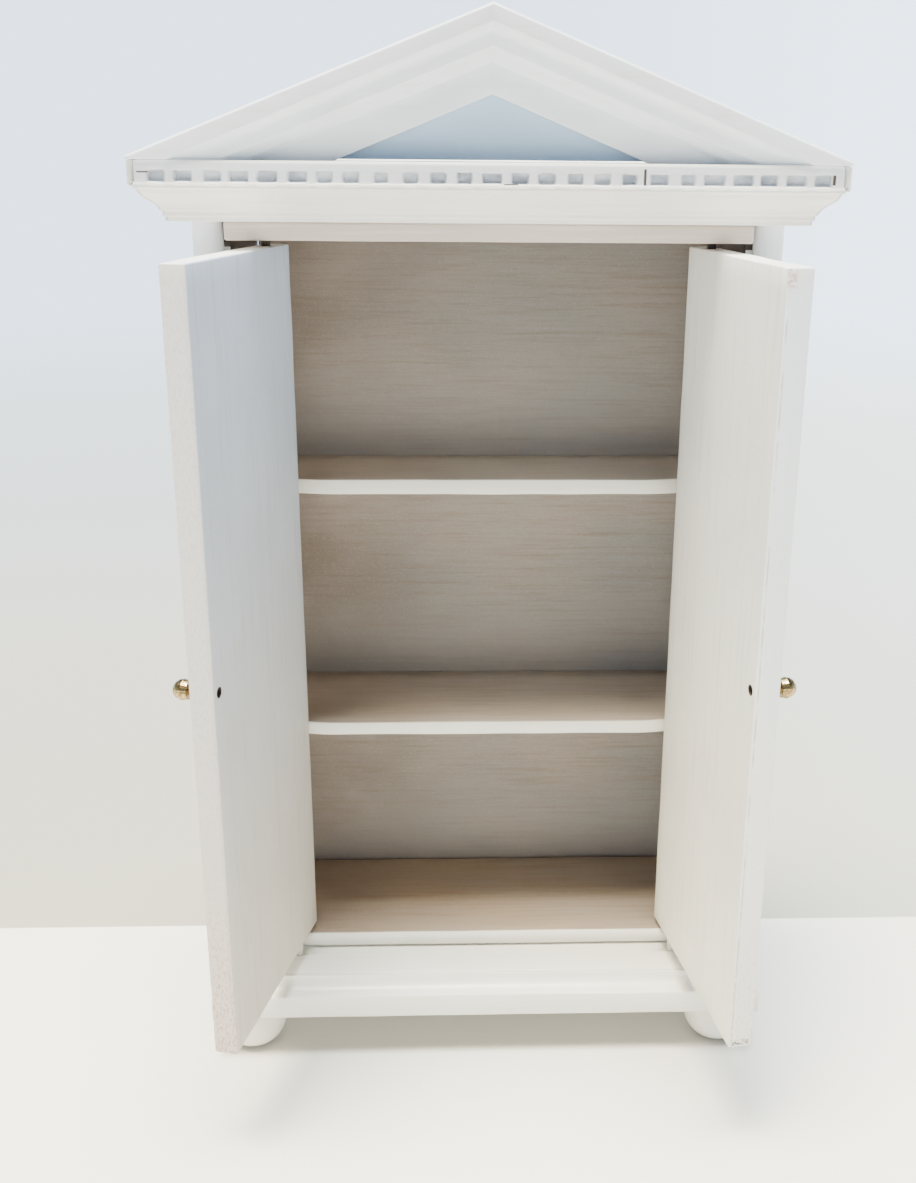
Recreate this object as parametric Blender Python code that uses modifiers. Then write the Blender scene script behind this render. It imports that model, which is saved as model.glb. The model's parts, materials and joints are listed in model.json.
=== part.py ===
"""A dolls'-house wardrobe with a pediment, two pivot-hung doors and two shelves.

The wardrobe stands on the XY plane with its front towards -Y and Z up.
The origin is on the ground, in the middle of the width and halfway between
the back of the cabinet and the furthest reach of the open doors.
Every part is its own closed solid; touching parts keep the seating gap.
"""

import math

import bmesh
import bpy
from mathutils import Matrix, Vector

MM = 0.001

# ---- Fits ------------------------------------------------------------------
SEAT_GAP = 0.3 * MM            # glue line between fixed parts
EASE = 0.35 * MM               # eased arris on sawn boards
FLOOR_EASE = 1.05 * MM         # rounder front of the floor board
DOOR_EASE = 0.2 * MM
PIVOT_CLEARANCE = 0.3 * MM     # hinge pin to the hole in the door, radially
SWING_CLEARANCE = 0.36 * MM    # door's hinge end to the side panel
MEETING_GAP = 0.5 * MM         # between the closed doors
SHELF_DOOR_CLEARANCE = 1.0 * MM

# ---- Doors -----------------------------------------------------------------
DOOR_HEIGHT = 140 * MM
DOOR_THICKNESS = 4.35 * MM
PIVOT_INSET = 5.65 * MM        # pin axis to the door's hinge end
LEFT_OPEN = math.radians(103.1)  # how far each door stands open at rest
RIGHT_OPEN = math.radians(99.5)
PIN_DIAMETER = 1.6 * MM
PIN_GRIP = 5 * MM              # how far a pin reaches into its door

# ---- Cabinet ---------------------------------------------------------------
OPENING_WIDTH = 91.6 * MM      # between the side panels
SIDE_THICKNESS = 4.8 * MM
CARCASS_DEPTH = 34.3 * MM      # front edge of the sides to the back
CARCASS_SETBACK = 1.6 * MM     # sides and floor stand this far behind the pins
BACK_THICKNESS = 2.5 * MM
FLOOR_THICKNESS = 3.1 * MM
DOOR_FLOOR_DROP = 1.2 * MM     # the floor lies this far below the doors

# ---- Shelves ---------------------------------------------------------------
LOWER_SHELF_RISE = 45.8 * MM   # shelf tops above the doors' lower edges
UPPER_SHELF_RISE = 95.0 * MM
LOWER_SHELF_THICKNESS = 2.6 * MM
UPPER_SHELF_THICKNESS = 2.9 * MM
LOWER_SHELF_FRONT = 5.6 * MM   # shelf fronts behind the pins
UPPER_SHELF_FRONT = 11.5 * MM
SHELF_CORNER_RUN = 14.5 * MM   # length of the rounded-back corners
SHELF_CORNER_FALL = 3.2 * MM   # least fall of those corners
SHELF_CORNER_POWER = 1.6

# ---- Base ------------------------------------------------------------------
FOOT_HEIGHT = 8.9 * MM
FOOT_RADIUS = 6.8 * MM
FOOT_PAD_RADIUS = 2.8 * MM
FOOT_NECK = 0.86               # neck radius as a share of the foot's radius
FOOT_BELLY = 0.62              # height of the widest place as a share of the foot's height
BASE_HEIGHT = 7.8 * MM
BASE_LEDGE = 7.5 * MM          # front edge of the ledge ahead of the pins
BASE_MOULDING_REACH = 4.1 * MM
BASE_NOSE = 0.35 * MM          # rounding between the fascia and the cove
BASE_COVE_DROP = 2.65 * MM
BASE_COVE_START = 0.3 * MM     # flat strip between the base board and the cove
BASE_OVERHANG = 1.3 * MM       # base board beyond the side panels

# ---- Lintel, columns and head ----------------------------------------------
DOOR_HEAD_GAP = 1.2 * MM       # lintel above the doors
LINTEL_HEIGHT = 3.0 * MM
LINTEL_FRONT = 5 * MM          # ahead of the pins
LINTEL_DEPTH = 8.6 * MM
COLUMN_DIAMETER = 5.3 * MM
COLUMN_INSET = 0.7 * MM        # column's edge outside the opening's edge
HEAD_THICKNESS = 6.1 * MM
HEAD_OVERHANG = 0.7 * MM       # top board beyond the side panels
CROWN_FOOT = 3.5 * MM          # the crown moulding's reach at its lower edge
CROWN_REACH = 7.6 * MM         # and at its upper edge
CROWN_TOP_EDGE = 0.75 * MM
CROWN_STEP = 0.85 * MM         # height of each fillet at the crown's foot
CROWN_STEP_OUT = 0.35 * MM
OGEE_STEPS = 10
OGEE_SWAY = 0.10               # swing of the curves either side of straight
DENTIL_PROUD = 0.7 * MM        # teeth beyond the crown's upper edge
DENTIL_BAND = 1.75 * MM        # height of the plain band over the teeth
DENTIL_HEIGHT = 3.5 * MM
DENTIL_LAP = 0.65 * MM         # teeth hang this far below the strip's seat
DENTIL_DEPTH = 3.8 * MM
DENTIL_RECESS = 1.35 * MM
DENTIL_PITCH = 4.6 * MM
DENTIL_NOTCH = 2.75 * MM
END_TOOTH = 1.2 * MM           # least width of the last tooth in a row

# ---- Pediment --------------------------------------------------------------
PEDIMENT_HEIGHT = 24 * MM      # above the cornice
PEDIMENT_END_RISE = 0.3 * MM   # height of the blunt ends
PEDIMENT_OVERHANG = 0.1 * MM   # beyond the dentils
RAKE_DEPTH = 6.5 * MM          # thickness of the raking moulding
RAKE_WIDTH = 12.6 * MM
RAKE_FASCIA = 2.6 * MM         # height of the outer fascia
RAKE_COVE_DROP = 1.7 * MM
RAKE_FILLET_FOOT = 5.9 * MM    # lower edge of the middle fillet, below the top edge
RAKE_OGEE_DROP = 2.1 * MM
RAKE_FILLET_BACK = 2.0 * MM    # middle fillet behind the fascia
RAKE_BAND_BACK = 4.5 * MM      # inner band behind the fascia
TYMPANUM_THICKNESS = 3 * MM

# ---- Knobs -----------------------------------------------------------------
KNOB_DIAMETER = 3.7 * MM
KNOB_REACH = 3.8 * MM          # out of the door's face
KNOB_BRIM = 1.9 * MM           # widest place of the head, out of the door's face
KNOB_COLLAR = 0.9 * MM         # radius and length of the neck
KNOB_BACK = 0.88               # flat back of the head as a share of its radius
KNOB_INSET = 2.3 * MM          # from the door's free edge
KNOB_RISE = 0.5 * MM           # above the middle of the door's height
SHANK_DIAMETER = 1.1 * MM
SHANK_HOLE_DIAMETER = 1.8 * MM
SHANK_SHORTFALL = 0.8 * MM     # the shank's end below the door's inner face

# ---- Derived places --------------------------------------------------------
PLINTH_Z = FOOT_HEIGHT + SEAT_GAP
LEDGE_Z = PLINTH_Z + BASE_HEIGHT
FLOOR_Z = LEDGE_Z + SEAT_GAP + FLOOR_THICKNESS
DOOR_Z = FLOOR_Z + DOOR_FLOOR_DROP
LINTEL_Z = DOOR_Z + DOOR_HEIGHT + DOOR_HEAD_GAP
HEAD_Z = LINTEL_Z + LINTEL_HEIGHT + SEAT_GAP
HEAD_TOP_Z = HEAD_Z + HEAD_THICKNESS
CORNICE_TOP_Z = HEAD_TOP_Z + SEAT_GAP + DENTIL_HEIGHT
PEDIMENT_Z = CORNICE_TOP_Z + SEAT_GAP
APEX_Z = PEDIMENT_Z + PEDIMENT_HEIGHT

DENTIL_REACH = CROWN_REACH + DENTIL_PROUD

PIVOT_SWING = math.hypot(PIVOT_INSET, DOOR_THICKNESS / 2)
PIVOT_X = OPENING_WIDTH / 2 - SWING_CLEARANCE - PIVOT_SWING
DOOR_WIDTH = PIVOT_X + PIVOT_INSET - MEETING_GAP / 2
BACK_OFFSET = CARCASS_SETBACK + CARCASS_DEPTH
FREE_LENGTH = DOOR_WIDTH - PIVOT_INSET


def front_reach(angle):
    """How far an open door's free end stands in front of its pin."""
    return FREE_LENGTH * math.sin(angle) + abs(math.cos(angle)) * DOOR_THICKNESS / 2


PIVOT_Y = (max(front_reach(LEFT_OPEN), front_reach(RIGHT_OPEN)) - BACK_OFFSET) / 2
BACK_Y = PIVOT_Y + BACK_OFFSET
CARCASS_Y = PIVOT_Y + CARCASS_SETBACK
LEDGE_Y = PIVOT_Y - BASE_LEDGE
HEAD_Y = PIVOT_Y - LINTEL_FRONT

OPENING_X = OPENING_WIDTH / 2
SIDE_X = OPENING_X + SIDE_THICKNESS
BASE_X = SIDE_X + BASE_OVERHANG
HEAD_X = SIDE_X + HEAD_OVERHANG
COLUMN_X = OPENING_X + COLUMN_INSET + COLUMN_DIAMETER / 2
COLUMN_Y = CARCASS_Y - SEAT_GAP - COLUMN_DIAMETER / 2
PEDIMENT_X = HEAD_X + DENTIL_REACH + PEDIMENT_OVERHANG
PEDIMENT_Y = HEAD_Y - DENTIL_REACH
RAKE_ANGLE = math.atan2(PEDIMENT_HEIGHT - PEDIMENT_END_RISE, PEDIMENT_X)

WHITE_PAINT = ((0.80, 0.80, 0.78, 1), 0.45, 0.0)
WASHED_WOOD = ((0.52, 0.46, 0.40, 1), 0.65, 0.0)
BRASS = ((0.72, 0.53, 0.24, 1), 0.25, 1.0)
PIN_STEEL = ((0.22, 0.21, 0.20, 1), 0.45, 1.0)


def clear_scene():
    for obj in list(bpy.data.objects):
        bpy.data.objects.remove(obj, do_unlink=True)


def collection_named(name):
    collection = bpy.data.collections.new(name)
    bpy.context.scene.collection.children.link(collection)
    return collection


clear_scene()
WARDROBE = collection_named("miniature_wardrobe")
CUTTERS = collection_named("cutters")


def make_material(name, look):
    color, roughness, metallic = look
    material = bpy.data.materials.new(name)
    material.use_nodes = True
    shader = material.node_tree.nodes["Principled BSDF"]
    shader.inputs["Base Color"].default_value = color
    shader.inputs["Roughness"].default_value = roughness
    shader.inputs["Metallic"].default_value = metallic
    return material


# ---- Modelling helpers -----------------------------------------------------


def add_object(name, bm, look, collection=WARDROBE, matrix=None):
    """Turns a bmesh into a named object with its own material."""
    mesh = bpy.data.meshes.new(name)
    bmesh.ops.recalc_face_normals(bm, faces=bm.faces)
    bm.to_mesh(mesh)
    bm.free()
    obj = bpy.data.objects.new(name, mesh)
    if matrix:
        obj.matrix_world = matrix
    if look:
        mesh.materials.append(make_material(name + "_material", look))
    collection.objects.link(obj)
    return obj


def box_bmesh(low, high):
    bm = bmesh.new()
    bmesh.ops.create_cube(bm, size=1)
    low, high = Vector(low), Vector(high)
    size = high - low
    bmesh.ops.scale(bm, vec=size, verts=bm.verts)
    bmesh.ops.translate(bm, vec=(low + high) / 2, verts=bm.verts)
    return bm


def ease_edges(obj, width, segments=2):
    bevel = obj.modifiers.new("eased_edges", "BEVEL")
    bevel.width = width
    bevel.segments = segments
    bevel.limit_method = "ANGLE"


def add_board(name, low, high, look=WHITE_PAINT, ease=EASE):
    board = add_object(name, box_bmesh(low, high), look)
    ease_edges(board, ease)
    return board


def cylinder_bmesh(radius, low_z, high_z, segments):
    bm = bmesh.new()
    bmesh.ops.create_cone(
        bm, cap_ends=True, segments=segments, radius1=radius, radius2=radius, depth=high_z - low_z
    )
    bmesh.ops.translate(bm, vec=(0, 0, (low_z + high_z) / 2), verts=bm.verts)
    return bm


def smooth_sides(obj):
    obj.data.shade_smooth()
    obj.data.set_sharp_from_angle(angle=math.radians(35))


def cut(obj, cutter):
    """Takes the cutter out of the object and hides the cutter."""
    cutter.hide_render = True
    cutter.display_type = "WIRE"
    boolean = obj.modifiers.new("cut_" + cutter.name, "BOOLEAN")
    boolean.operation = "DIFFERENCE"
    boolean.solver = "EXACT"
    boolean.object = cutter


def outline_prism(points, thickness):
    """A flat outline in the XY plane, extruded equally to both sides of it."""
    curve = bpy.data.curves.new("outline", "CURVE")
    curve.dimensions = "2D"
    curve.fill_mode = "BOTH"
    curve.extrude = thickness / 2
    spline = curve.splines.new("POLY")
    spline.points.add(len(points) - 1)
    for point, (x, y) in zip(spline.points, points):
        point.co = (x, y, 0, 1)
    spline.use_cyclic_u = True
    outline = bpy.data.objects.new("outline", curve)
    WARDROBE.objects.link(outline)
    evaluated = outline.evaluated_get(bpy.context.evaluated_depsgraph_get())
    mesh = bpy.data.meshes.new_from_object(evaluated)
    bm = bmesh.new()
    bm.from_mesh(mesh)
    bmesh.ops.remove_doubles(bm, verts=bm.verts, dist=0.00001)
    bpy.data.objects.remove(outline, do_unlink=True)
    bpy.data.meshes.remove(mesh)
    return bm


def slice_off(bm, point, outward):
    """Saws off what lies beyond a plane and closes the cut."""
    geometry = list(bm.verts) + list(bm.edges) + list(bm.faces)
    bmesh.ops.bisect_plane(
        bm, geom=geometry, plane_co=point, plane_no=outward, clear_outer=True, dist=0.000001
    )
    rim = [edge for edge in bm.edges if edge.is_boundary]
    bmesh.ops.holes_fill(bm, edges=rim, sides=0)


def arc(centre, radius, start, end, steps):
    """Points on an arc, from start to end in degrees."""
    points = []
    for i in range(steps + 1):
        angle = math.radians(start + (end - start) * i / steps)
        points.append((centre[0] + radius * math.cos(angle), centre[1] + radius * math.sin(angle)))
    return points


def hollow(centre, across, down, steps):
    """A quarter hollow: starts level with its centre and ends straight below it."""
    points = []
    for i in range(steps + 1):
        angle = math.radians(90 * i / steps)
        points.append((centre[0] - across * math.cos(angle), centre[1] - down * math.sin(angle)))
    return points


# ---- Mouldings that run round the front and the sides ----------------------


def run_along_front(profile, half_length, back_y, base_z):
    """A profile of (reach, height) points as a bar along X, mitred at both ends.

    Its back stands at back_y, and the mitres meet the sides at half_length.
    """
    bm = outline_prism(profile, 2 * (half_length + DENTIL_REACH + PEDIMENT_OVERHANG))
    turn = Matrix(((0, 0, 1, 0), (-1, 0, 0, back_y), (0, 1, 0, base_z), (0, 0, 0, 1)))
    bmesh.ops.transform(bm, matrix=turn, verts=bm.verts)
    for side in (-1, 1):
        slice_off(bm, (side * (half_length - SEAT_GAP), back_y, 0), (side, 1, 0))
    return bm


def run_along_side(profile, side, wall_x, front_y, base_z):
    """The same profile as a return along one side, from the mitre to the back."""
    length = 2 * (BACK_Y - front_y + DENTIL_REACH)
    bm = outline_prism(profile, length)
    turn = Matrix(
        ((side, 0, 0, side * wall_x), (0, 0, 1, BACK_Y), (0, 1, 0, base_z), (0, 0, 0, 1))
    )
    bmesh.ops.transform(bm, matrix=turn, verts=bm.verts)
    bmesh.ops.recalc_face_normals(bm, faces=bm.faces)
    slice_off(bm, (0, BACK_Y, 0), (0, 1, 0))
    slice_off(bm, (side * (wall_x - SEAT_GAP), front_y, 0), (-side, -1, 0))
    return bm


def moulding_set(name, profile, wall_x, front_y, base_z):
    """Front moulding and two returns round a board's edges."""
    made = {
        name + "_front": run_along_front(profile, wall_x, front_y - SEAT_GAP, base_z),
        name + "_left": run_along_side(profile, -1, wall_x + SEAT_GAP, front_y, base_z),
        name + "_right": run_along_side(profile, 1, wall_x + SEAT_GAP, front_y, base_z),
    }
    objects = {}
    for part_name, bm in made.items():
        objects[part_name] = add_object(part_name, bm, WHITE_PAINT)
        smooth_sides(objects[part_name])
    return objects


def base_profile():
    """Fascia, rounded nose and hollow cove of the base moulding."""
    reach = BASE_MOULDING_REACH - SEAT_GAP
    cove_end = reach - BASE_NOSE
    cove = hollow((cove_end, BASE_HEIGHT), cove_end - BASE_COVE_START, BASE_COVE_DROP, 8)
    nose = arc((cove_end, BASE_HEIGHT - BASE_COVE_DROP - BASE_NOSE), BASE_NOSE, 90, 0, 3)
    return [(0, 0), (0, BASE_HEIGHT)] + cove + nose[1:] + [(reach, EASE), (reach - EASE, 0)]


def crown_profile():
    """Two small fillets, an ogee and the top edge of the crown moulding."""
    height = HEAD_THICKNESS
    step = CROWN_STEP
    foot = CROWN_FOOT - SEAT_GAP
    second = foot + CROWN_STEP_OUT
    top = CROWN_REACH - SEAT_GAP
    top_edge = height - CROWN_TOP_EDGE
    start = (second + CROWN_STEP_OUT, 2 * step)
    end = (top - CROWN_STEP_OUT, top_edge)
    ogee = []
    for i in range(OGEE_STEPS + 1):
        share = i / OGEE_STEPS
        sway = OGEE_SWAY * math.sin(2 * math.pi * share)
        ogee.append(
            (
                start[0] + (end[0] - start[0]) * (share - sway),
                start[1] + (end[1] - start[1]) * share,
            )
        )
    return (
        [(0, 0), (foot, 0), (foot, step), (second, step), (second, 2 * step)]
        + ogee
        + [(top, top_edge), (top, height - EASE), (top - EASE, height), (0, height)]
    )


def dentil_profile():
    """Section of the dentil strip: the teeth lap over the crown's top edge."""
    outer = DENTIL_REACH - SEAT_GAP
    inner = outer - DENTIL_DEPTH
    lap_x = CROWN_REACH
    top = DENTIL_HEIGHT
    return [
        (inner, 0),
        (lap_x, 0),
        (lap_x, -DENTIL_LAP),
        (outer, -DENTIL_LAP),
        (outer, top - EASE),
        (outer - EASE, top),
        (inner, top),
    ]


def notch_bar(name, count, along, across, centre):
    """Cutter for a row of notches: one box repeated by an Array modifier."""
    low_z = -DENTIL_LAP - EASE
    high_z = DENTIL_HEIGHT - DENTIL_BAND
    bm = bmesh.new()
    bmesh.ops.create_cube(bm, size=1)
    size = Vector(along) * DENTIL_NOTCH + Vector(across) * 2 * DENTIL_RECESS
    size = Vector((abs(size.x), abs(size.y), high_z - low_z))
    bmesh.ops.scale(bm, vec=size, verts=bm.verts)
    first = Vector(centre) - Vector(along) * DENTIL_PITCH * (count - 1) / 2
    first.z = HEAD_TOP_Z + SEAT_GAP + (low_z + high_z) / 2
    cutter = add_object(name, bm, None, CUTTERS, Matrix.Translation(first))
    array = cutter.modifiers.new("row", "ARRAY")
    array.count = count
    array.use_relative_offset = False
    array.use_constant_offset = True
    array.constant_offset_displace = Vector(along) * DENTIL_PITCH
    return cutter


def notch_count(run):
    """Most notches that fit along a run with whole teeth at both ends."""
    return int((run - 2 * END_TOOTH + DENTIL_PITCH - DENTIL_NOTCH) / DENTIL_PITCH)


def add_dentils():
    strips = moulding_set("dentil_strip", dentil_profile(), HEAD_X, HEAD_Y, HEAD_TOP_Z + SEAT_GAP)
    face_y = HEAD_Y - DENTIL_REACH
    face_x = HEAD_X + DENTIL_REACH
    cutter = notch_bar(
        "front_notches", notch_count(2 * face_x), (1, 0, 0), (0, 1, 0), (0, face_y, 0)
    )
    cut(strips["dentil_strip_front"], cutter)
    count = notch_count(BACK_Y - face_y)
    for side, name in ((-1, "left"), (1, "right")):
        middle = (side * face_x, (BACK_Y + face_y) / 2, 0)
        cutter = notch_bar(name + "_notches", count, (0, 1, 0), (1, 0, 0), middle)
        cut(strips["dentil_strip_" + name], cutter)


# ---- Cabinet ---------------------------------------------------------------


def add_carcass():
    low_z = LEDGE_Z + SEAT_GAP
    high_z = HEAD_Z - SEAT_GAP
    for side, name in ((-1, "left"), (1, "right")):
        xs = sorted((side * OPENING_X, side * SIDE_X))
        add_board(name + "_side_panel", (xs[0], CARCASS_Y, low_z), (xs[1], BACK_Y, high_z))
    inner_x = OPENING_X - SEAT_GAP
    add_board(
        "back_panel",
        (-inner_x, BACK_Y - BACK_THICKNESS, low_z),
        (inner_x, BACK_Y, high_z),
        WASHED_WOOD,
    )
    add_board(
        "floor_board",
        (-inner_x, CARCASS_Y, low_z),
        (inner_x, BACK_Y - BACK_THICKNESS - SEAT_GAP, FLOOR_Z),
        WASHED_WOOD,
        FLOOR_EASE,
    )


def shelf_outline(front_y):
    """Half of the plan is mirrored: the front corners fall back along a curve."""
    half = OPENING_X - SEAT_GAP
    back = BACK_Y - BACK_THICKNESS - SEAT_GAP
    reach = PIVOT_Y + PIVOT_SWING + SHELF_DOOR_CLEARANCE
    start = half - SHELF_CORNER_RUN
    at_pin = ((PIVOT_X - start) / SHELF_CORNER_RUN) ** SHELF_CORNER_POWER
    fall = max(SHELF_CORNER_FALL, (reach - front_y) / at_pin)
    steps = 8
    corner = [
        (
            start + SHELF_CORNER_RUN * i / steps,
            front_y + fall * (i / steps) ** SHELF_CORNER_POWER,
        )
        for i in range(steps + 1)
    ]
    right = corner + [(half, back)]
    return right + [(-x, y) for x, y in reversed(right)]


def add_shelf(name, rise, thickness, front):
    bm = outline_prism(shelf_outline(PIVOT_Y + front), thickness)
    bmesh.ops.translate(bm, vec=(0, 0, DOOR_Z + rise - thickness / 2), verts=bm.verts)
    shelf = add_object(name, bm, WASHED_WOOD)
    ease_edges(shelf, EASE)


def add_lintel():
    lintel = add_board(
        "lintel_rail",
        (-OPENING_X, HEAD_Y, LINTEL_Z),
        (OPENING_X, HEAD_Y + LINTEL_DEPTH, LINTEL_Z + LINTEL_HEIGHT),
    )
    for side, name in ((-1, "left"), (1, "right")):
        hole = cylinder_bmesh(PIN_DIAMETER / 2 + SEAT_GAP, LINTEL_Z - MM, HEAD_Z + MM, 20)
        place = Matrix.Translation((side * PIVOT_X, PIVOT_Y, 0))
        cut(lintel, add_object(name + "_lintel_hole", hole, None, CUTTERS, place))


def add_columns():
    for side, name in ((-1, "left"), (1, "right")):
        bm = cylinder_bmesh(COLUMN_DIAMETER / 2, LEDGE_Z + SEAT_GAP, HEAD_Z - SEAT_GAP, 40)
        place = Matrix.Translation((side * COLUMN_X, COLUMN_Y, 0))
        smooth_sides(add_object(name + "_column", bm, WHITE_PAINT, matrix=place))


def add_base():
    base = add_board("base_board", (-BASE_X, LEDGE_Y, PLINTH_Z), (BASE_X, BACK_Y, LEDGE_Z))
    for side, name in ((-1, "left"), (1, "right")):
        hole = cylinder_bmesh(PIN_DIAMETER / 2 + SEAT_GAP, LEDGE_Z - PIN_GRIP, LEDGE_Z + MM, 20)
        place = Matrix.Translation((side * PIVOT_X, PIVOT_Y, 0))
        cut(base, add_object(name + "_base_hole", hole, None, CUTTERS, place))
    moulding_set("base_moulding", base_profile(), BASE_X, LEDGE_Y, PLINTH_Z)


def foot_profile():
    """Outer side of a turned bun foot, from its top down to the pad."""
    neck = FOOT_RADIUS * FOOT_NECK
    belly_z = FOOT_HEIGHT * FOOT_BELLY
    upper = [
        (
            neck + (FOOT_RADIUS - neck) * math.sin(math.radians(t)),
            belly_z + (FOOT_HEIGHT - belly_z) * math.cos(math.radians(t)),
        )
        for t in (0, 25, 50, 72, 90)
    ]
    lower = [
        (
            FOOT_PAD_RADIUS + (FOOT_RADIUS - FOOT_PAD_RADIUS) * math.cos(math.radians(t)),
            belly_z * (1 - math.sin(math.radians(t))),
        )
        for t in (15, 30, 45, 60, 75, 90)
    ]
    return [(0, FOOT_HEIGHT)] + upper + lower + [(0, 0)]


def turned_object(name, profile, look, steps, matrix):
    """A profile of (radius, height) points turned about Z with a Screw modifier."""
    bm = bmesh.new()
    verts = [bm.verts.new((radius, 0, height)) for radius, height in profile]
    for first, second in zip(verts, verts[1:]):
        bm.edges.new((first, second))
    mesh = bpy.data.meshes.new(name)
    bm.to_mesh(mesh)
    bm.free()
    mesh.materials.append(make_material(name + "_material", look))
    obj = bpy.data.objects.new(name, mesh)
    obj.matrix_world = matrix
    WARDROBE.objects.link(obj)
    screw = obj.modifiers.new("turning", "SCREW")
    screw.steps = steps
    screw.render_steps = steps
    screw.use_merge_vertices = True
    screw.merge_threshold = 0.000001
    screw.use_smooth_shade = True
    return obj


def add_feet():
    centre_x = BASE_X + BASE_MOULDING_REACH - FOOT_RADIUS - EASE
    front_y = LEDGE_Y - BASE_MOULDING_REACH + FOOT_RADIUS + EASE
    rear_y = BACK_Y - FOOT_RADIUS - EASE
    for y, place in ((front_y, "front"), (rear_y, "rear")):
        for side, hand in ((-1, "left"), (1, "right")):
            matrix = Matrix.Translation((side * centre_x, y, 0))
            turned_object(f"{place}_{hand}_foot", foot_profile(), WHITE_PAINT, 28, matrix)


def add_head():
    add_board("top_board", (-HEAD_X, HEAD_Y, HEAD_Z), (HEAD_X, BACK_Y, HEAD_TOP_Z))
    moulding_set("crown_moulding", crown_profile(), HEAD_X, HEAD_Y, HEAD_Z)
    add_dentils()
    inset = DENTIL_REACH - DENTIL_DEPTH - SEAT_GAP
    add_board(
        "cornice_board",
        (-HEAD_X - inset, HEAD_Y - inset, HEAD_TOP_Z + SEAT_GAP),
        (HEAD_X + inset, BACK_Y, CORNICE_TOP_Z),
    )


# ---- Pediment --------------------------------------------------------------


def rake_profile():
    """Section of the raking moulding: (reach from its back, height below its top edge)."""
    fillet_reach = RAKE_DEPTH - RAKE_FILLET_BACK
    band_reach = RAKE_DEPTH - RAKE_BAND_BACK
    cove = []
    for angle in (0, 20, 40, 60, 75, 90):
        t = math.radians(angle)
        reach = RAKE_DEPTH - RAKE_FILLET_BACK * math.sin(t)
        cove.append((reach, -RAKE_FASCIA - RAKE_COVE_DROP * (1 - math.cos(t))))
    ogee = []
    for i in range(OGEE_STEPS + 1):
        share = i / OGEE_STEPS
        sway = OGEE_SWAY * math.sin(2 * math.pi * share)
        reach = fillet_reach - (fillet_reach - band_reach) * (share + sway)
        ogee.append((reach, -RAKE_FILLET_FOOT - RAKE_OGEE_DROP * share))
    return (
        [(0, 0), (RAKE_DEPTH - EASE, 0), (RAKE_DEPTH, -EASE)]
        + cove
        + ogee
        + [(band_reach, -RAKE_WIDTH), (0, -RAKE_WIDTH)]
    )


def add_pediment():
    back_y = PEDIMENT_Y + RAKE_DEPTH
    for side, name in ((-1, "left"), (1, "right")):
        bm = outline_prism(rake_profile(), 3 * PEDIMENT_X)
        along = Vector((-side * math.cos(RAKE_ANGLE), 0, math.sin(RAKE_ANGLE)))
        up = Vector((side * math.sin(RAKE_ANGLE), 0, math.cos(RAKE_ANGLE)))
        out = Vector((0, -1, 0))
        turn = Matrix((out, up, along)).transposed().to_4x4()
        turn.translation = (0, back_y, APEX_Z)
        bmesh.ops.transform(bm, matrix=turn, verts=bm.verts)
        bmesh.ops.recalc_face_normals(bm, faces=bm.faces)
        slice_off(bm, (side * SEAT_GAP / 2, 0, 0), (-side, 0, 0))
        slice_off(bm, (side * PEDIMENT_X, 0, 0), (side, 0, 0))
        slice_off(bm, (0, 0, PEDIMENT_Z), (0, 0, -1))
        smooth_sides(add_object(name + "_raking_cornice", bm, WHITE_PAINT))
    lip = 2 * SEAT_GAP
    half = PEDIMENT_X - lip
    top = PEDIMENT_HEIGHT - lip
    end = PEDIMENT_END_RISE
    outline = [(-half, 0), (half, 0), (half, end), (0, top), (-half, end)]
    bm = outline_prism(outline, TYMPANUM_THICKNESS)
    middle_y = back_y + SEAT_GAP + TYMPANUM_THICKNESS / 2
    stand = Matrix(((1, 0, 0, 0), (0, 0, -1, middle_y), (0, 1, 0, PEDIMENT_Z), (0, 0, 0, 1)))
    bmesh.ops.transform(bm, matrix=stand, verts=bm.verts)
    add_object("pediment_board", bm, WHITE_PAINT)


# ---- Doors, pins and knobs -------------------------------------------------


def knob_profile():
    """A domed head on a short neck, and the shank through the door."""
    head = KNOB_DIAMETER / 2
    collar = KNOB_COLLAR
    dome = [
        (
            head * math.cos(math.radians(t)),
            KNOB_BRIM + (KNOB_REACH - KNOB_BRIM) * math.sin(math.radians(t)),
        )
        for t in (72, 54, 36, 18, 0)
    ]
    shank = SHANK_DIAMETER / 2
    tail = SHANK_SHORTFALL - DOOR_THICKNESS
    return (
        [(0, KNOB_REACH)]
        + dome
        + [(head * KNOB_BACK, collar), (collar, collar), (collar, SEAT_GAP)]
        + [(shank, SEAT_GAP), (shank, tail), (0, tail)]
    )


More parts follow.
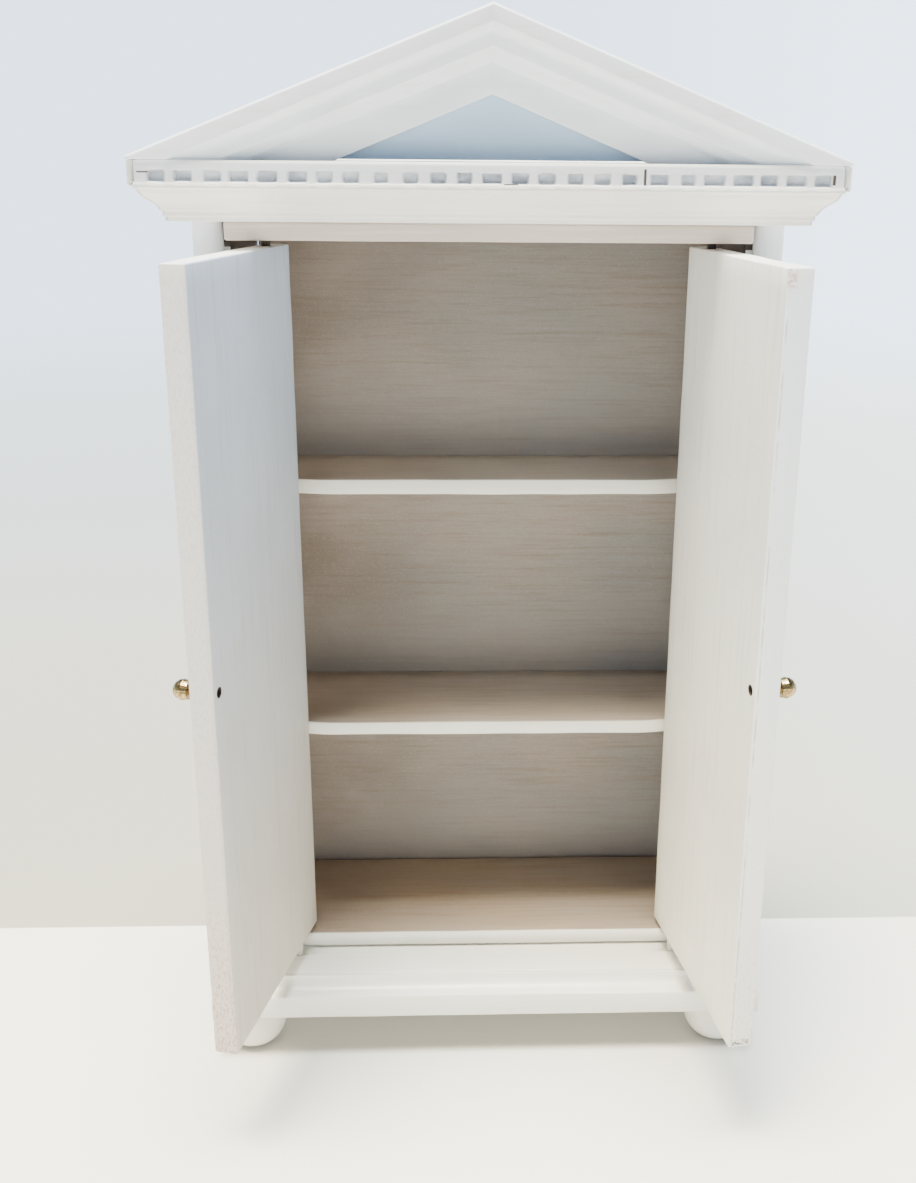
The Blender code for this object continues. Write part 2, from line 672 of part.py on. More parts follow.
def add_door(side, name, angle):
    """A slab built closed about its pin, then swung open to its rest angle.

    The door's empty stands on the hinge axis. Local X runs from the pin to the free edge.
    """
    half = DOOR_THICKNESS / 2
    hinge = bpy.data.objects.new(name + "_hinge_axis", None)
    turn = angle if side > 0 else -angle
    hinge.matrix_world = Matrix.Translation((side * PIVOT_X, PIVOT_Y, DOOR_Z)) @ Matrix.Rotation(
        turn, 4, "Z"
    )
    WARDROBE.objects.link(hinge)
    xs = sorted((side * PIVOT_INSET, -side * FREE_LENGTH))
    door = add_object(
        name + "_door", box_bmesh((xs[0], -half, 0), (xs[1], half, DOOR_HEIGHT)), WHITE_PAINT
    )
    door.parent = hinge
    ease_edges(door, DOOR_EASE)
    depth = PIN_GRIP + SEAT_GAP
    for low, high, place in ((-MM, depth, "lower"), (DOOR_HEIGHT - depth, DOOR_HEIGHT + MM, "upper")):
        hole = cylinder_bmesh(PIN_DIAMETER / 2 + PIVOT_CLEARANCE, low, high, 20)
        cutter = add_object(f"{name}_{place}_pivot_hole", hole, None, CUTTERS)
        cutter.parent = hinge
        cut(door, cutter)
    knob_x = -side * (FREE_LENGTH - KNOB_INSET)
    face_out = Matrix.Translation((knob_x, -half, DOOR_HEIGHT / 2 + KNOB_RISE)) @ Matrix.Rotation(
        math.radians(90), 4, "X"
    )
    shank_hole = cylinder_bmesh(SHANK_HOLE_DIAMETER / 2, -2 * DOOR_THICKNESS, DOOR_THICKNESS, 20)
    cutter = add_object(name + "_shank_hole", shank_hole, None, CUTTERS, face_out)
    cutter.parent = hinge
    cut(door, cutter)
    knob = turned_object(name + "_knob", knob_profile(), BRASS, 24, face_out)
    knob.parent = hinge


def add_hinge_pins():
    spans = {
        "lower": (LEDGE_Z - PIN_GRIP + SEAT_GAP, DOOR_Z + PIN_GRIP),
        "upper": (DOOR_Z + DOOR_HEIGHT - PIN_GRIP, HEAD_Z - SEAT_GAP),
    }
    for side, hand in ((-1, "left"), (1, "right")):
        for place, (low, high) in spans.items():
            bm = cylinder_bmesh(PIN_DIAMETER / 2, low, high, 20)
            matrix = Matrix.Translation((side * PIVOT_X, PIVOT_Y, 0))
            smooth_sides(add_object(f"{hand}_{place}_hinge_pin", bm, PIN_STEEL, matrix=matrix))


add_base()
add_feet()
add_carcass()
add_shelf("lower_shelf", LOWER_SHELF_RISE, LOWER_SHELF_THICKNESS, LOWER_SHELF_FRONT)
add_shelf("upper_shelf", UPPER_SHELF_RISE, UPPER_SHELF_THICKNESS, UPPER_SHELF_FRONT)
add_lintel()
add_columns()
add_head()
add_pediment()
add_hinge_pins()
add_door(-1, "left", LEFT_OPEN)
add_door(1, "right", RIGHT_OPEN)
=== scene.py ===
"""Looks of a white dolls'-house wardrobe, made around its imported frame.

Every board, moulding and turned foot is worked over: its faces are cut into small
cells and made slightly uneven, ends are carried over their glue lines, and it gets
thin white paint over wood grain, or a white wash inside. Only mouldings have their
arrises eased. Knobs and pins keep their CAD shape and get a material. Lengths are
in millimetres until they go into a mesh, and the front of the wardrobe faces -Y.
"""

import json
import math

import bmesh
import bpy
from mathutils import Matrix, Vector, noise


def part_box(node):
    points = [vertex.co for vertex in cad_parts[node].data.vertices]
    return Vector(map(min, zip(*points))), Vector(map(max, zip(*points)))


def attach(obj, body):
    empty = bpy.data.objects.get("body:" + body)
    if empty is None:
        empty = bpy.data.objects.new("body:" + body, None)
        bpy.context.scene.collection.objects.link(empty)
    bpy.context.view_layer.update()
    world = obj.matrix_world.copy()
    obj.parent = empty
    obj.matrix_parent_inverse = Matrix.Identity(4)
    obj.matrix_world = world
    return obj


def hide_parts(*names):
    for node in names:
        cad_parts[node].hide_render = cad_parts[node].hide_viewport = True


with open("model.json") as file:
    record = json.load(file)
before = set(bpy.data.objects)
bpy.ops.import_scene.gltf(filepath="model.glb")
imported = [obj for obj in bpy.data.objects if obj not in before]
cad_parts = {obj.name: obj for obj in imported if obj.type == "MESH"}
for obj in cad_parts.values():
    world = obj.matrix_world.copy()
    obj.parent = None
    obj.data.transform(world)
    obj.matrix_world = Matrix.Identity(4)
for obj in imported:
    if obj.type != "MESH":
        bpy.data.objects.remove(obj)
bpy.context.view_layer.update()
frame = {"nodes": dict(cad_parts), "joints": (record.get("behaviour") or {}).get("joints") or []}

MM = 0.001
SIDES = {"left": -1, "right": 1}


# ---- Measures read from the frame -------------------------------------------


def box_mm(node):
    """Lowest and highest corner of a CAD node, in millimetres."""
    low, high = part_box(node)
    return low / MM, high / MM


def joint_named(name):
    return next(joint for joint in frame["joints"] if joint["name"] == name)


def door_frame(side):
    """(pivot in millimetres, turn about Z) of a door as it stands at rest.

    In the door's own axes the pin is at the origin, and X runs along the door.
    """
    joint = joint_named(side + "_door_hinge")
    opened = -math.radians(joint["range_deg"][0])
    pivot = Vector(joint["pos_m"]) / MM
    pivot.z = box_mm(side + "_door")[0].z
    return pivot, SIDES[side] * opened


# ---- Camera, floor and light ---------------------------------------------------

CAMERA_PLACE = (-6.58, -237.71, 178.28)
CAMERA_YAW = -0.0398
CAMERA_PITCH = -0.3277
CAMERA_ROLL = 0.0097
CAMERA_LENS = 39.93
CAMERA_SHIFT = (-0.0384, 0.0021)


def add_camera():
    """The eye stands in front of the wardrobe, near the height of its head, and looks down."""
    data = bpy.data.cameras.new("camera")
    data.lens = CAMERA_LENS
    data.shift_x, data.shift_y = CAMERA_SHIFT
    data.clip_start = 0.01
    data.clip_end = 100
    camera = bpy.data.objects.new("camera", data)
    turn = (
        Matrix.Rotation(CAMERA_YAW, 4, "Z")
        @ Matrix.Rotation(math.radians(90) + CAMERA_PITCH, 4, "X")
        @ Matrix.Rotation(CAMERA_ROLL, 4, "Z")
    )
    camera.matrix_world = Matrix.Translation(Vector(CAMERA_PLACE) * MM) @ turn
    bpy.context.scene.collection.objects.link(camera)
    bpy.context.scene.camera = camera


def add_sun(name, azimuth, elevation, spread, strength, colour):
    """A distant soft light. Azimuth 0 is the front and 90 the right; angles in degrees."""
    data = bpy.data.lights.new(name, "SUN")
    data.angle = math.radians(spread)
    data.energy = strength
    data.color = colour
    light = bpy.data.objects.new(name, data)
    aside, up = math.radians(azimuth), math.radians(elevation)
    level = math.cos(up)
    toward = Vector((math.sin(aside) * level, -math.cos(aside) * level, math.sin(up)))
    light.rotation_euler = toward.to_track_quat("Z", "Y").to_euler()
    bpy.context.scene.collection.objects.link(light)


def add_lights():
    """Most light falls from the ceiling, and some of it leans in from the left."""
    add_sun("ceiling_light", 0, 89, 25, 11.4, (0.93, 1.0, 1.0))
    add_sun("left_light", -60, 76, 22, 8.7, (1.0, 0.86, 0.62))


HAZE_TOP = math.sin(math.radians(20))
HAZE_FOOT = math.sin(math.radians(8))
HAZE_BEHIND = (2.35, 2.85, 3.4, 1)
HAZE_RIGHT = (3.1, 3.7, 4.4, 1)
HAZE_BESIDE = (1.0, 1.15, 1.3, 1)
CEILING = (0.16, 0.2, 0.28, 1)
HAZE_BACKWARD = (-0.1, 0.6)
HAZE_RIGHTWARD = (0.0, 0.35)


def add_world():
    """A pale, bluish band of room, brightest behind the wardrobe, and a dim ceiling."""
    world = bpy.data.worlds.new("pale_room")
    world.use_nodes = True
    bpy.context.scene.world = world
    look = Finish.of_tree(world.node_tree)
    direction = look.node("ShaderNodeTexCoord").outputs["Generated"]
    behind = look.rise(look.axis("Y", direction), *HAZE_BACKWARD)
    band = look.blend(behind, HAZE_BESIDE, HAZE_BEHIND)
    rightward = look.rise(look.axis("X", direction), *HAZE_RIGHTWARD)
    band = look.blend(look.times(rightward, behind), band, HAZE_RIGHT)
    above = look.rise(look.axis("Z", direction), HAZE_FOOT, HAZE_TOP)
    look.feed(look.tree.nodes["Background"].inputs["Color"], look.blend(above, band, CEILING))


FLOOR_RADIUS = 1400
FLOOR_FADE = (500, 1350)
FLOOR_DROP = 0.02
TABLE_EDGE_Y = 38.6
TABLE_EDGE_BLUR = 0.25
TABLE_TONE = (0.77, 0.74, 0.67, 1)
TABLE_CLOUD = (0.785, 0.765, 0.715, 1)
# Painted light on the wall tone: warmer near the table for its warm bounce, lighter to the right
# for brighter light there.
WALL_NEAR_WARM_BOUNCE = (0.37, 0.34, 0.275, 1)
WALL_FAR = (0.32, 0.36, 0.40, 1)
WALL_RIGHT_LIT = (0.46, 0.50, 0.53, 1)
WALL_BACKWARD = (0.0, 500.0)
WALL_RIGHTWARD = (-60.0, 330.0)


def add_floor():
    """A pale round table top. Behind the wardrobe it changes to the tone of a wall."""
    bm = bmesh.new()
    bmesh.ops.create_circle(bm, cap_ends=True, segments=96, radius=FLOOR_RADIUS * MM)
    mesh = bpy.data.meshes.new("table_top")
    bm.to_mesh(mesh)
    bm.free()
    floor = bpy.data.objects.new("table_top", mesh)
    floor.location.z = -FLOOR_DROP * MM
    bpy.context.scene.collection.objects.link(floor)
    mesh.materials.append(floor_finish())


# ---- Shader nodes ----------------------------------------------------------------

ARRIS_COSINES = (0.995, 0.90)  # between the plain and the rounded normal


class Finish:
    """A material under construction, with short names for the nodes it uses."""

    def __init__(self, name, origin=(0, 0, 0), turn=0.0):
        self.material = bpy.data.materials.new(name)
        self.material.use_nodes = True
        self.tree = self.material.node_tree
        self.surface = self.tree.nodes["Principled BSDF"]
        self.place = self.millimetres(origin, turn)

    @classmethod
    def of_tree(cls, tree):
        """The same node names for a tree that isn't a material's."""
        made = cls.__new__(cls)
        made.tree = tree
        return made

    def node(self, kind, inputs=(), **settings):
        made = self.tree.nodes.new(kind)
        for name, value in settings.items():
            setattr(made, name, value)
        for key, value in dict(inputs).items():
            self.feed(made.inputs[key], value)
        return made

    def feed(self, socket, value):
        if isinstance(value, bpy.types.NodeSocket):
            self.tree.links.new(value, socket)
        else:
            socket.default_value = value

    def millimetres(self, origin, turn):
        """Object coordinates in millimetres from an origin, turned about Z."""
        source = self.node("ShaderNodeTexCoord").outputs["Object"]
        mapping = self.node("ShaderNodeMapping", {"Vector": source}, vector_type="TEXTURE")
        mapping.inputs["Location"].default_value = Vector(origin) * MM
        mapping.inputs["Rotation"].default_value = (0, 0, turn)
        mapping.inputs["Scale"].default_value = (MM, MM, MM)
        return mapping.outputs[0]

    def math(self, operation, first, second=0.0, clamp=False):
        inputs = {0: first, 1: second}
        made = self.node("ShaderNodeMath", inputs, operation=operation, use_clamp=clamp)
        return made.outputs[0]

    def times(self, *factors):
        """The product of all factors."""
        product = factors[0]
        for factor in factors[1:]:
            product = self.math("MULTIPLY", product, factor)
        return product

    def plus(self, first, second):
        return self.math("ADD", first, second)

    def axis(self, letter, vector=None):
        return self.node("ShaderNodeSeparateXYZ", {0: vector or self.place}).outputs[letter]

    def cells(self, stretch, detail=2.0, roughness=0.5, shift=0.0):
        """Noise between 0 and 1; stretch is its cells per millimetre along each axis."""
        inputs = {0: self.place, 1: stretch, 2: (shift, 0.7 * shift, 1.3 * shift)}
        scaled = self.node("ShaderNodeVectorMath", inputs, operation="MULTIPLY_ADD")
        made = self.node("ShaderNodeTexNoise", {"Vector": scaled.outputs[0], "Scale": 1.0})
        self.feed(made.inputs["Detail"], detail)
        self.feed(made.inputs["Roughness"], roughness)
        return made.outputs[0]

    def rise(self, value, start, end):
        """0 below start and 1 above end, with a smooth step between them."""
        inputs = {"Value": value, "From Min": start, "From Max": end}
        made = self.node("ShaderNodeMapRange", inputs, interpolation_type="SMOOTHSTEP")
        return made.outputs["Result"]

    def blend(self, factor, first, second):
        inputs = {"Factor": factor, "A": first, "B": second}
        made = self.node("ShaderNodeMix", data_type="RGBA")
        sockets = {s.name: s for s in made.inputs if s.enabled}
        for name, value in inputs.items():
            self.feed(sockets[name], value)
        return next(s for s in made.outputs if s.enabled)

    def tint(self, tone, colour):
        """The tone, with the light and dark of a colour that is WHITE where it is plain."""
        made = self.node("ShaderNodeMix", data_type="RGBA", blend_type="MULTIPLY")
        sockets = {s.name: s for s in made.inputs if s.enabled}
        self.feed(sockets["Factor"], 1.0)
        self.feed(sockets["A"], tone)
        inputs = {0: colour, "Scale": 1 / PLAIN_VALUE}
        lifted = self.node("ShaderNodeVectorMath", inputs, operation="SCALE")
        self.feed(sockets["B"], lifted.outputs[0])
        return next(s for s in made.outputs if s.enabled)

    def span(self, letter, low, high, soft):
        """1 between two places along an axis, fading over a soft edge."""
        place = self.axis(letter)
        inside = self.rise(place, low - soft, low + soft)
        outside = self.rise(place, high - soft, high + soft)
        return self.math("SUBTRACT", inside, outside, clamp=True)

    def arris(self, radius):
        """1 on the edges of a piece, 0 on its flat faces."""
        rounded = self.node("ShaderNodeBevel", {"Radius": radius * MM}, samples=6).outputs[0]
        plain = self.node("ShaderNodeNewGeometry").outputs["Normal"]
        dot = self.node("ShaderNodeVectorMath", {0: rounded, 1: plain}, operation="DOT_PRODUCT")
        return self.rise(dot.outputs["Value"], *ARRIS_COSINES)

    def finish(self, colour, roughness, height, depth):
        """Colour, roughness and a bump whose full height is depth millimetres."""
        self.feed(self.surface.inputs["Base Color"], colour)
        self.feed(self.surface.inputs["Roughness"], roughness)
        inputs = {"Height": height, "Distance": depth * MM, "Strength": 1.0}
        bump = self.node("ShaderNodeBump", inputs)
        self.feed(self.surface.inputs["Normal"], bump.outputs[0])
        return self.material


def along(axis, fine, lengthwise):
    """Noise stretch for a grain that runs along an axis."""
    return tuple(lengthwise if letter == axis else fine for letter in "XYZ")


# ---- Finishes ----------------------------------------------------------------------
#
# Where a pair of millimetres says how far something goes, it starts at the first
# and is full at the second.

WARM_WHITE = (0.89, 0.87, 0.79, 1)
WHITE = (0.87, 0.87, 0.85, 1)
# Painted bluish light: columns and raking mouldings are white tinted blue, as if lit by the
# bluish room light.
BLUE_LIT_WHITE = (0.81, 0.865, 0.935, 1)
SHADY_WHITE = (0.45, 0.61, 0.82, 1)
PINKISH = (0.66, 0.585, 0.54, 1)
BARE_WOOD = (0.46, 0.29, 0.21, 1)
PORE_BROWN = (0.36, 0.21, 0.17, 1)
SHELF_BOUNCE_TONE = (0.60, 0.55, 0.50, 1)
# Near black: real open joints and chips, and painted shade in the knob holes, beside the lintel
# and under the top board.
DARK_GAP_AND_SHADE = (0.05, 0.035, 0.03, 1)
FLOUR = (0.62, 0.58, 0.55, 1)
# Painted shade: the lintel's darker, warmer white stands in for the shade under the crown.
LINTEL_SHADE_TONE = (0.57, 0.50, 0.445, 1)
EDGE_STAIN = (0.66, 0.53, 0.46, 1)
CHIP_RED = (0.50, 0.24, 0.15, 1)
BRASS = (0.42, 0.31, 0.14, 1)
TARNISH = (0.19, 0.13, 0.058, 1)
WIRE = (0.035, 0.03, 0.028, 1)
WIRE_STAIN = (0.09, 0.075, 0.065, 1)
PLAIN_VALUE = 0.87  # brightness of WHITE
SATIN = 0.40
GLOSSY = 0.22

BACK_WASH = ((0.325, 0.282, 0.248, 1), (0.275, 0.262, 0.246, 1), (0.19, 0.134, 0.095, 1))
SHELF_WASH = ((0.53, 0.45, 0.37, 1), (0.48, 0.44, 0.39, 1), (0.33, 0.235, 0.165, 1))
FLOOR_WASH = ((0.37, 0.29, 0.21, 1), (0.345, 0.29, 0.235, 1), (0.27, 0.18, 0.115, 1))
BROWN_LEFTWARD = (8.0, -44.0)
FRONT_SKIN = (0.6, 0.3)  # depth of a front face's own tone


def floor_finish():
    look = Finish("table_top")
    start, end = TABLE_EDGE_Y - TABLE_EDGE_BLUR, TABLE_EDGE_Y + TABLE_EDGE_BLUR
    seam = look.rise(look.axis("Y"), start, end)
    cloud = look.cells((0.004, 0.004, 0.004), 2.0)
    table = look.blend(cloud, TABLE_TONE, TABLE_CLOUD)
    grain = look.cells((1.2, 1.2, 1.2), 2.0)
    wall = look.blend(look.rise(look.axis("Y"), *WALL_BACKWARD), WALL_NEAR_WARM_BOUNCE, WALL_FAR)
    wall = look.blend(look.rise(look.axis("X"), *WALL_RIGHTWARD), wall, WALL_RIGHT_LIT)
    colour = look.blend(seam, table, wall)
    radius = look.node("ShaderNodeVectorMath", {0: look.place}, operation="LENGTH")
    fade = look.rise(radius.outputs["Value"], *reversed(FLOOR_FADE))
    look.feed(look.surface.inputs["Alpha"], fade)
    return look.finish(colour, 0.75, grain, 0.02)


def paint_layers(look, axis, shift, thin, tone):
    """Thin white paint over a grain: (colour, bump height)."""
    patches = look.rise(look.cells((0.035, 0.035, 0.035), 3.0, 0.6, shift), 0.35, 0.68)
    deeper = tuple(0.93 * part for part in tone[:3]) + (1,)
    colour = look.blend(patches, tone, deeper)
    grain = look.cells(along(axis, 0.9, 0.035), 4.0, 0.6, shift)
    fibres = look.cells(along(axis, 5.0, 0.25), 3.0, 0.65, shift + 3)
    brushed = look.cells(along(axis, 0.45, 0.02), 2.0, 0.5, shift + 7)
    streaks = look.times(look.rise(grain, 0.50, 0.74), thin)
    colour = look.blend(streaks, colour, PINKISH)
    specks = look.times(look.rise(fibres, 0.54, 0.74), 0.6 * thin)
    colour = look.blend(specks, colour, PINKISH)
    height = look.plus(look.times(grain, 0.6), look.times(fibres, 0.4))
    height = look.plus(height, look.times(brushed, 0.6))
    return colour, height


def wear_arrises(look, colour, shift, amount):
    """Bare wood shows in places along the edges."""
    edge = look.arris(0.3)
    gaps = look.rise(look.cells((0.45, 0.45, 0.45), 4.0, 0.7, shift), 0.57, 0.68)
    return look.blend(look.times(edge, gaps, amount), colour, BARE_WOOD)


def painted(name, axis="X", shift=0.0, thin=0.25, wear=0.25, tone=WHITE, dull=SATIN):
    """White paint on a piece whose grain runs along an axis.

    Shift picks another stretch of the noise, thin is how much wood shows through
    the paint, and wear how bare the arrises are.
    """
    look = Finish(name)
    colour, height = paint_layers(look, axis, shift, thin, tone)
    colour = wear_arrises(look, colour, shift + 11, wear)
    roughness = look.plus(look.times(height, 0.12), dull)
    return look.finish(colour, roughness, height, 0.04)


def wash_layers(look, axis, shift, wash):
    """A whitish wash in brownish wood, browner to the left: (colour, bump height)."""
    light, grey, brown = wash
    clouds = look.cells(along(axis, 0.05, 0.03), 3.0, 0.55, shift)
    colour = look.blend(look.rise(clouds, 0.35, 0.65), light, grey)
    leftward = look.rise(look.axis("X"), *BROWN_LEFTWARD)
    patchy = look.times(leftward, look.rise(clouds, 0.2, 0.75), 0.85)
    colour = look.blend(patchy, colour, brown)
    grain = look.cells(along(axis, 1.3, 0.05), 5.0, 0.65, shift + 2)
    colour = look.blend(look.times(look.rise(grain, 0.44, 0.75), 0.5), colour, brown)
    fibres = look.cells(along(axis, 5.5, 0.35), 3.0, 0.7, shift + 5)
    colour = look.blend(look.times(look.rise(fibres, 0.48, 0.8), 0.45), colour, brown)
    flour = look.rise(look.cells((3.2, 3.2, 3.2), 3.0, 0.7, shift + 8), 0.52, 0.75)
    colour = look.blend(look.times(flour, 0.22), colour, FLOUR)
    height = look.plus(look.times(grain, 0.5), look.times(fibres, 0.5))
    return colour, height


EDGE_RADIUS = 0.9
PAINT_LINE = (0.40, 0.52)  # how far forward the rounded edge faces there
RAGGEDNESS = 0.12


def washed_with_painted_front(name, shift, wash):
    """A washed board whose front edge is painted white, with an uneven paint line."""
    look = Finish(name)
    wood, height = wash_layers(look, "X", shift, wash)
    paint, paint_height = paint_layers(look, "X", shift, 0.3, WARM_WHITE)
    rounded = look.node("ShaderNodeBevel", {"Radius": EDGE_RADIUS * MM}, samples=8).outputs[0]
    forward = look.times(look.axis("Y", rounded), -1.0)
    ragged = look.times(look.cells((0.25, 0.25, 0.25), 3.0, 0.6, shift), RAGGEDNESS)
    front = look.rise(look.plus(forward, ragged), *PAINT_LINE)
    colour = look.blend(front, wood, paint)
    height = look.blend(front, height, paint_height)
    return look.finish(colour, 0.6, height, 0.04)


WASH_SKIN = (0.12, 0.06)  # below the inner face
HEAD_SHADE = (9.0, 5.5)  # below the panel's top
# Painted shade on the front edge beside the lintel, below the panel's top:
HEAD_SLIT_SHADE = (4.6, 4.4)
SLIT_SKIN = (0.3, 0.1)


def side_panel_finish(name, side, shift):
    """Painted outside and in front, washed on the face towards the shelves.

    Painted shade darkens the inner face behind the doors' upper ends and the front
    edge beside the lintel.
    """
    look = Finish(name)
    paint, height = paint_layers(look, "Z", shift, 0.25, WHITE)
    wood, _ = wash_layers(look, "Z", shift, BACK_WASH)
    low, high = box_mm(side + "_side_panel")
    inner = high.x if SIDES[side] < 0 else -low.x
    reach = look.times(look.axis("X"), float(-SIDES[side]))
    inside = look.rise(reach, *(inner - skin for skin in WASH_SKIN))
    colour = look.blend(inside, paint, wood)
    # Painted shade on the inner face behind the doors' upper ends.
    head_shade = look.rise(look.axis("Z"), *(high.z - drop for drop in HEAD_SHADE))
    colour = look.blend(look.times(head_shade, inside), colour, DARK_GAP_AND_SHADE)
    # Painted shade on the front edge beside the lintel.
    slit_shade = look.rise(look.axis("Z"), *(high.z - drop for drop in HEAD_SLIT_SHADE))
    edge = look.rise(look.axis("Y"), *(low.y + skin for skin in SLIT_SKIN))
    colour = look.blend(look.times(slit_shade, edge), colour, DARK_GAP_AND_SHADE)
    return look.finish(colour, 0.5, height, 0.035)


# Painted light: just above each shelf the back is lighter, for the light that the shelf bounces.
SHELF_BOUNCE_HEIGHT = (24.0, 2.0)
SHELF_BOUNCE_FOOT = (-1.0, 0.0)
SHELF_BOUNCE_STRENGTH = 0.33
# Painted shade: the back is darker under the top board.
TOP_SHADE_RISE = (128.0, 160.0)
TOP_SHADE_STRENGTH = 0.38


def back_finish():
    """A washed board; inside, with painted shade under the top and painted bounce light above
    each shelf.
    """
    look = Finish("back_wash")
    colour, height = wash_layers(look, "X", 3.0, BACK_WASH)
    up = look.axis("Z")
    inner = box_mm("back_panel")[0].y
    inside = look.rise(look.axis("Y"), *(inner + skin for skin in FRONT_SKIN))
    # Painted bounce light above each shelf.
    for node in ("floor_board", "lower_shelf", "upper_shelf"):
        top = box_mm(node)[1].z
        fading = look.rise(up, *(top + rise for rise in SHELF_BOUNCE_HEIGHT))
        above = look.rise(up, *(top + rise for rise in SHELF_BOUNCE_FOOT))
        shelf_bounce = look.times(fading, above, inside, SHELF_BOUNCE_STRENGTH)
        colour = look.blend(shelf_bounce, colour, SHELF_BOUNCE_TONE)
    # Painted shade under the top board.
    painted_shade = look.times(look.rise(up, *TOP_SHADE_RISE), inside, TOP_SHADE_STRENGTH)
    colour = look.blend(painted_shade, colour, DARK_GAP_AND_SHADE)
    return look.finish(colour, 0.75, height, 0.05)


def tympanum_finish():
    """White paint, bluish as in shade on the face under the raking mouldings."""
    look = Finish("tympanum_paint")
    colour, height = paint_layers(look, "X", 11.0, 0.15, WHITE)
    front = box_mm("pediment_board")[0].y
    shaded = look.rise(look.axis("Y"), *(front + skin for skin in FRONT_SKIN))
    colour = look.blend(shaded, colour, look.tint(SHADY_WHITE, colour))
    return look.finish(colour, 0.45, height, 0.04)


def places_on_door(side, node):
    """A node's points in the door's own axes, in millimetres."""
    pivot, turn = door_frame(side)
    back = Matrix.Rotation(-turn, 3, "Z")
    return [back @ (vertex.co / MM - pivot) for vertex in frame["nodes"][node].data.vertices]


def door_size(side):
    """(reach from the pin to the free end, half the thickness), in millimetres."""
    places = places_on_door(side, side + "_door")
    return max(-SIDES[side] * place.x for place in places), max(place.y for place in places)


HOLE_RIM = 1.0
HOLE_BLUR = 0.1


def shank_hole_shade(look, side, colour):
    """Painted shade: the hole through the door and a rim around it are painted dark."""
    places = places_on_door(side, side + "_knob")
    middle = sum(places, Vector()) / len(places)
    aside = look.math("SUBTRACT", look.axis("X"), middle.x)
    above = look.math("SUBTRACT", look.axis("Z"), middle.z)
    squares = look.plus(look.math("POWER", aside, 2.0), look.math("POWER", above, 2.0))
    # Painted shade in the hole.
    hole = look.rise(squares, HOLE_RIM ** 2 + HOLE_BLUR, HOLE_RIM ** 2 - HOLE_BLUR)
    return look.blend(hole, colour, DARK_GAP_AND_SHADE)


# Painted light and shade on the doors' inner faces, from the foot tone to the top tone: the left
# face shaded and bluer upwards, the right face lit warm low down.
INNER_FACE_LIGHT_AND_SHADE = {
    "left": ((0.53, 0.50, 0.46, 1), (0.46, 0.54, 0.70, 1)),
    "right": ((0.90, 0.87, 0.77, 1), (0.90, 0.90, 0.88, 1)),
}
# Painted light and shade on the free edges, from foot to top: the left edge shaded, the right
# edge lit, both bluer upwards and warmer at the foot.
FREE_EDGE_LIGHT_AND_SHADE = {
    "left": ((0.62, 0.555, 0.50, 1), (0.62, 0.63, 0.66, 1)),
    "right": ((0.90, 0.88, 0.83, 1), (0.80, 0.89, 0.97, 1)),
}
INNER_FACE = (1.2, 2.0)  # from the middle of the door's thickness
DOOR_RISE = (0.0, 140.0)
END_SKIN = (0.30, 0.12)
STAINED_FOOT = (36.0, 6.0)
BARE_CORNER = (135.5, 139.5)
FOOT_STAIN = {"left": 0.5, "right": 0.22}
PORES = {"left": (0.6, 0.22), "right": (0.16, 0.06)}  # near the foot, all over


def door_finish(side, shift):
    """A sawn slab: grain along its height, saw marks across, rough bare free edge."""
    pivot, turn = door_frame(side)
    look = Finish(side + "_door_paint", pivot, turn)
    low_tone, high_tone = INNER_FACE_LIGHT_AND_SHADE[side]
    # Painted light and shade on the inner face, changing with height.
    inner_face = look.rise(look.axis("Y"), *INNER_FACE)
    upward = look.rise(look.axis("Z"), *DOOR_RISE)
    inner_light_and_shade = look.blend(upward, low_tone, high_tone)
    colour, height = paint_layers(look, "Z", shift, 0.42, WHITE)
    colour = look.blend(inner_face, colour, look.tint(inner_light_and_shade, colour))
    saw = look.cells((0.05, 0.05, 1.8), 3.0, 0.6, shift + 20)
    marks = look.times(look.rise(saw, 0.52, 0.75), 0.14)
    colour = look.blend(marks, colour, PINKISH)
    reach = look.times(look.axis("X"), float(-SIDES[side]))
    free_end, half = door_size(side)
    end = look.rise(reach, *(free_end - skin for skin in END_SKIN))
    colour = end_grain(look, side, colour, end, upward, shift)
    colour = shank_hole_shade(look, side, colour)
    colour = wear_arrises(look, colour, shift + 11, 0.5)
    if side == "right":
        colour = split_arris(look, colour, end, half)
    height = look.plus(height, look.times(saw, 0.35))
    rough = look.times(end, look.cells((3.0, 3.0, 1.5), 4.0, 0.7, shift))
    height = look.plus(height, rough)
    return look.finish(colour, 0.55, height, 0.055)


def end_grain(look, side, colour, end, upward, shift):
    """Thin paint on the sawn free edge, with painted light and shade; pinkish wood in its pores,
    mostly near the foot.
    """
    edge_light_and_shade = look.blend(upward, *FREE_EDGE_LIGHT_AND_SHADE[side])
    colour = look.blend(look.times(end, 0.9), colour, edge_light_and_shade)
    foot = look.rise(look.axis("Z"), *STAINED_FOOT)
    colour = look.blend(look.times(foot, FOOT_STAIN[side], end), colour, EDGE_STAIN)
    most, least = PORES[side]
    depth = look.plus(look.times(foot, most), least)
    pores = look.rise(look.cells((2.4, 2.4, 1.0), 5.0, 0.8, shift + 30), 0.49, 0.60)
    colour = look.blend(look.times(pores, depth, end), colour, PORE_BROWN)
    corner = look.rise(look.axis("Z"), *BARE_CORNER)
    return look.blend(look.times(corner, end, 0.45), colour, PINKISH)


SPLIT_INSET = (0.55, 0.30)


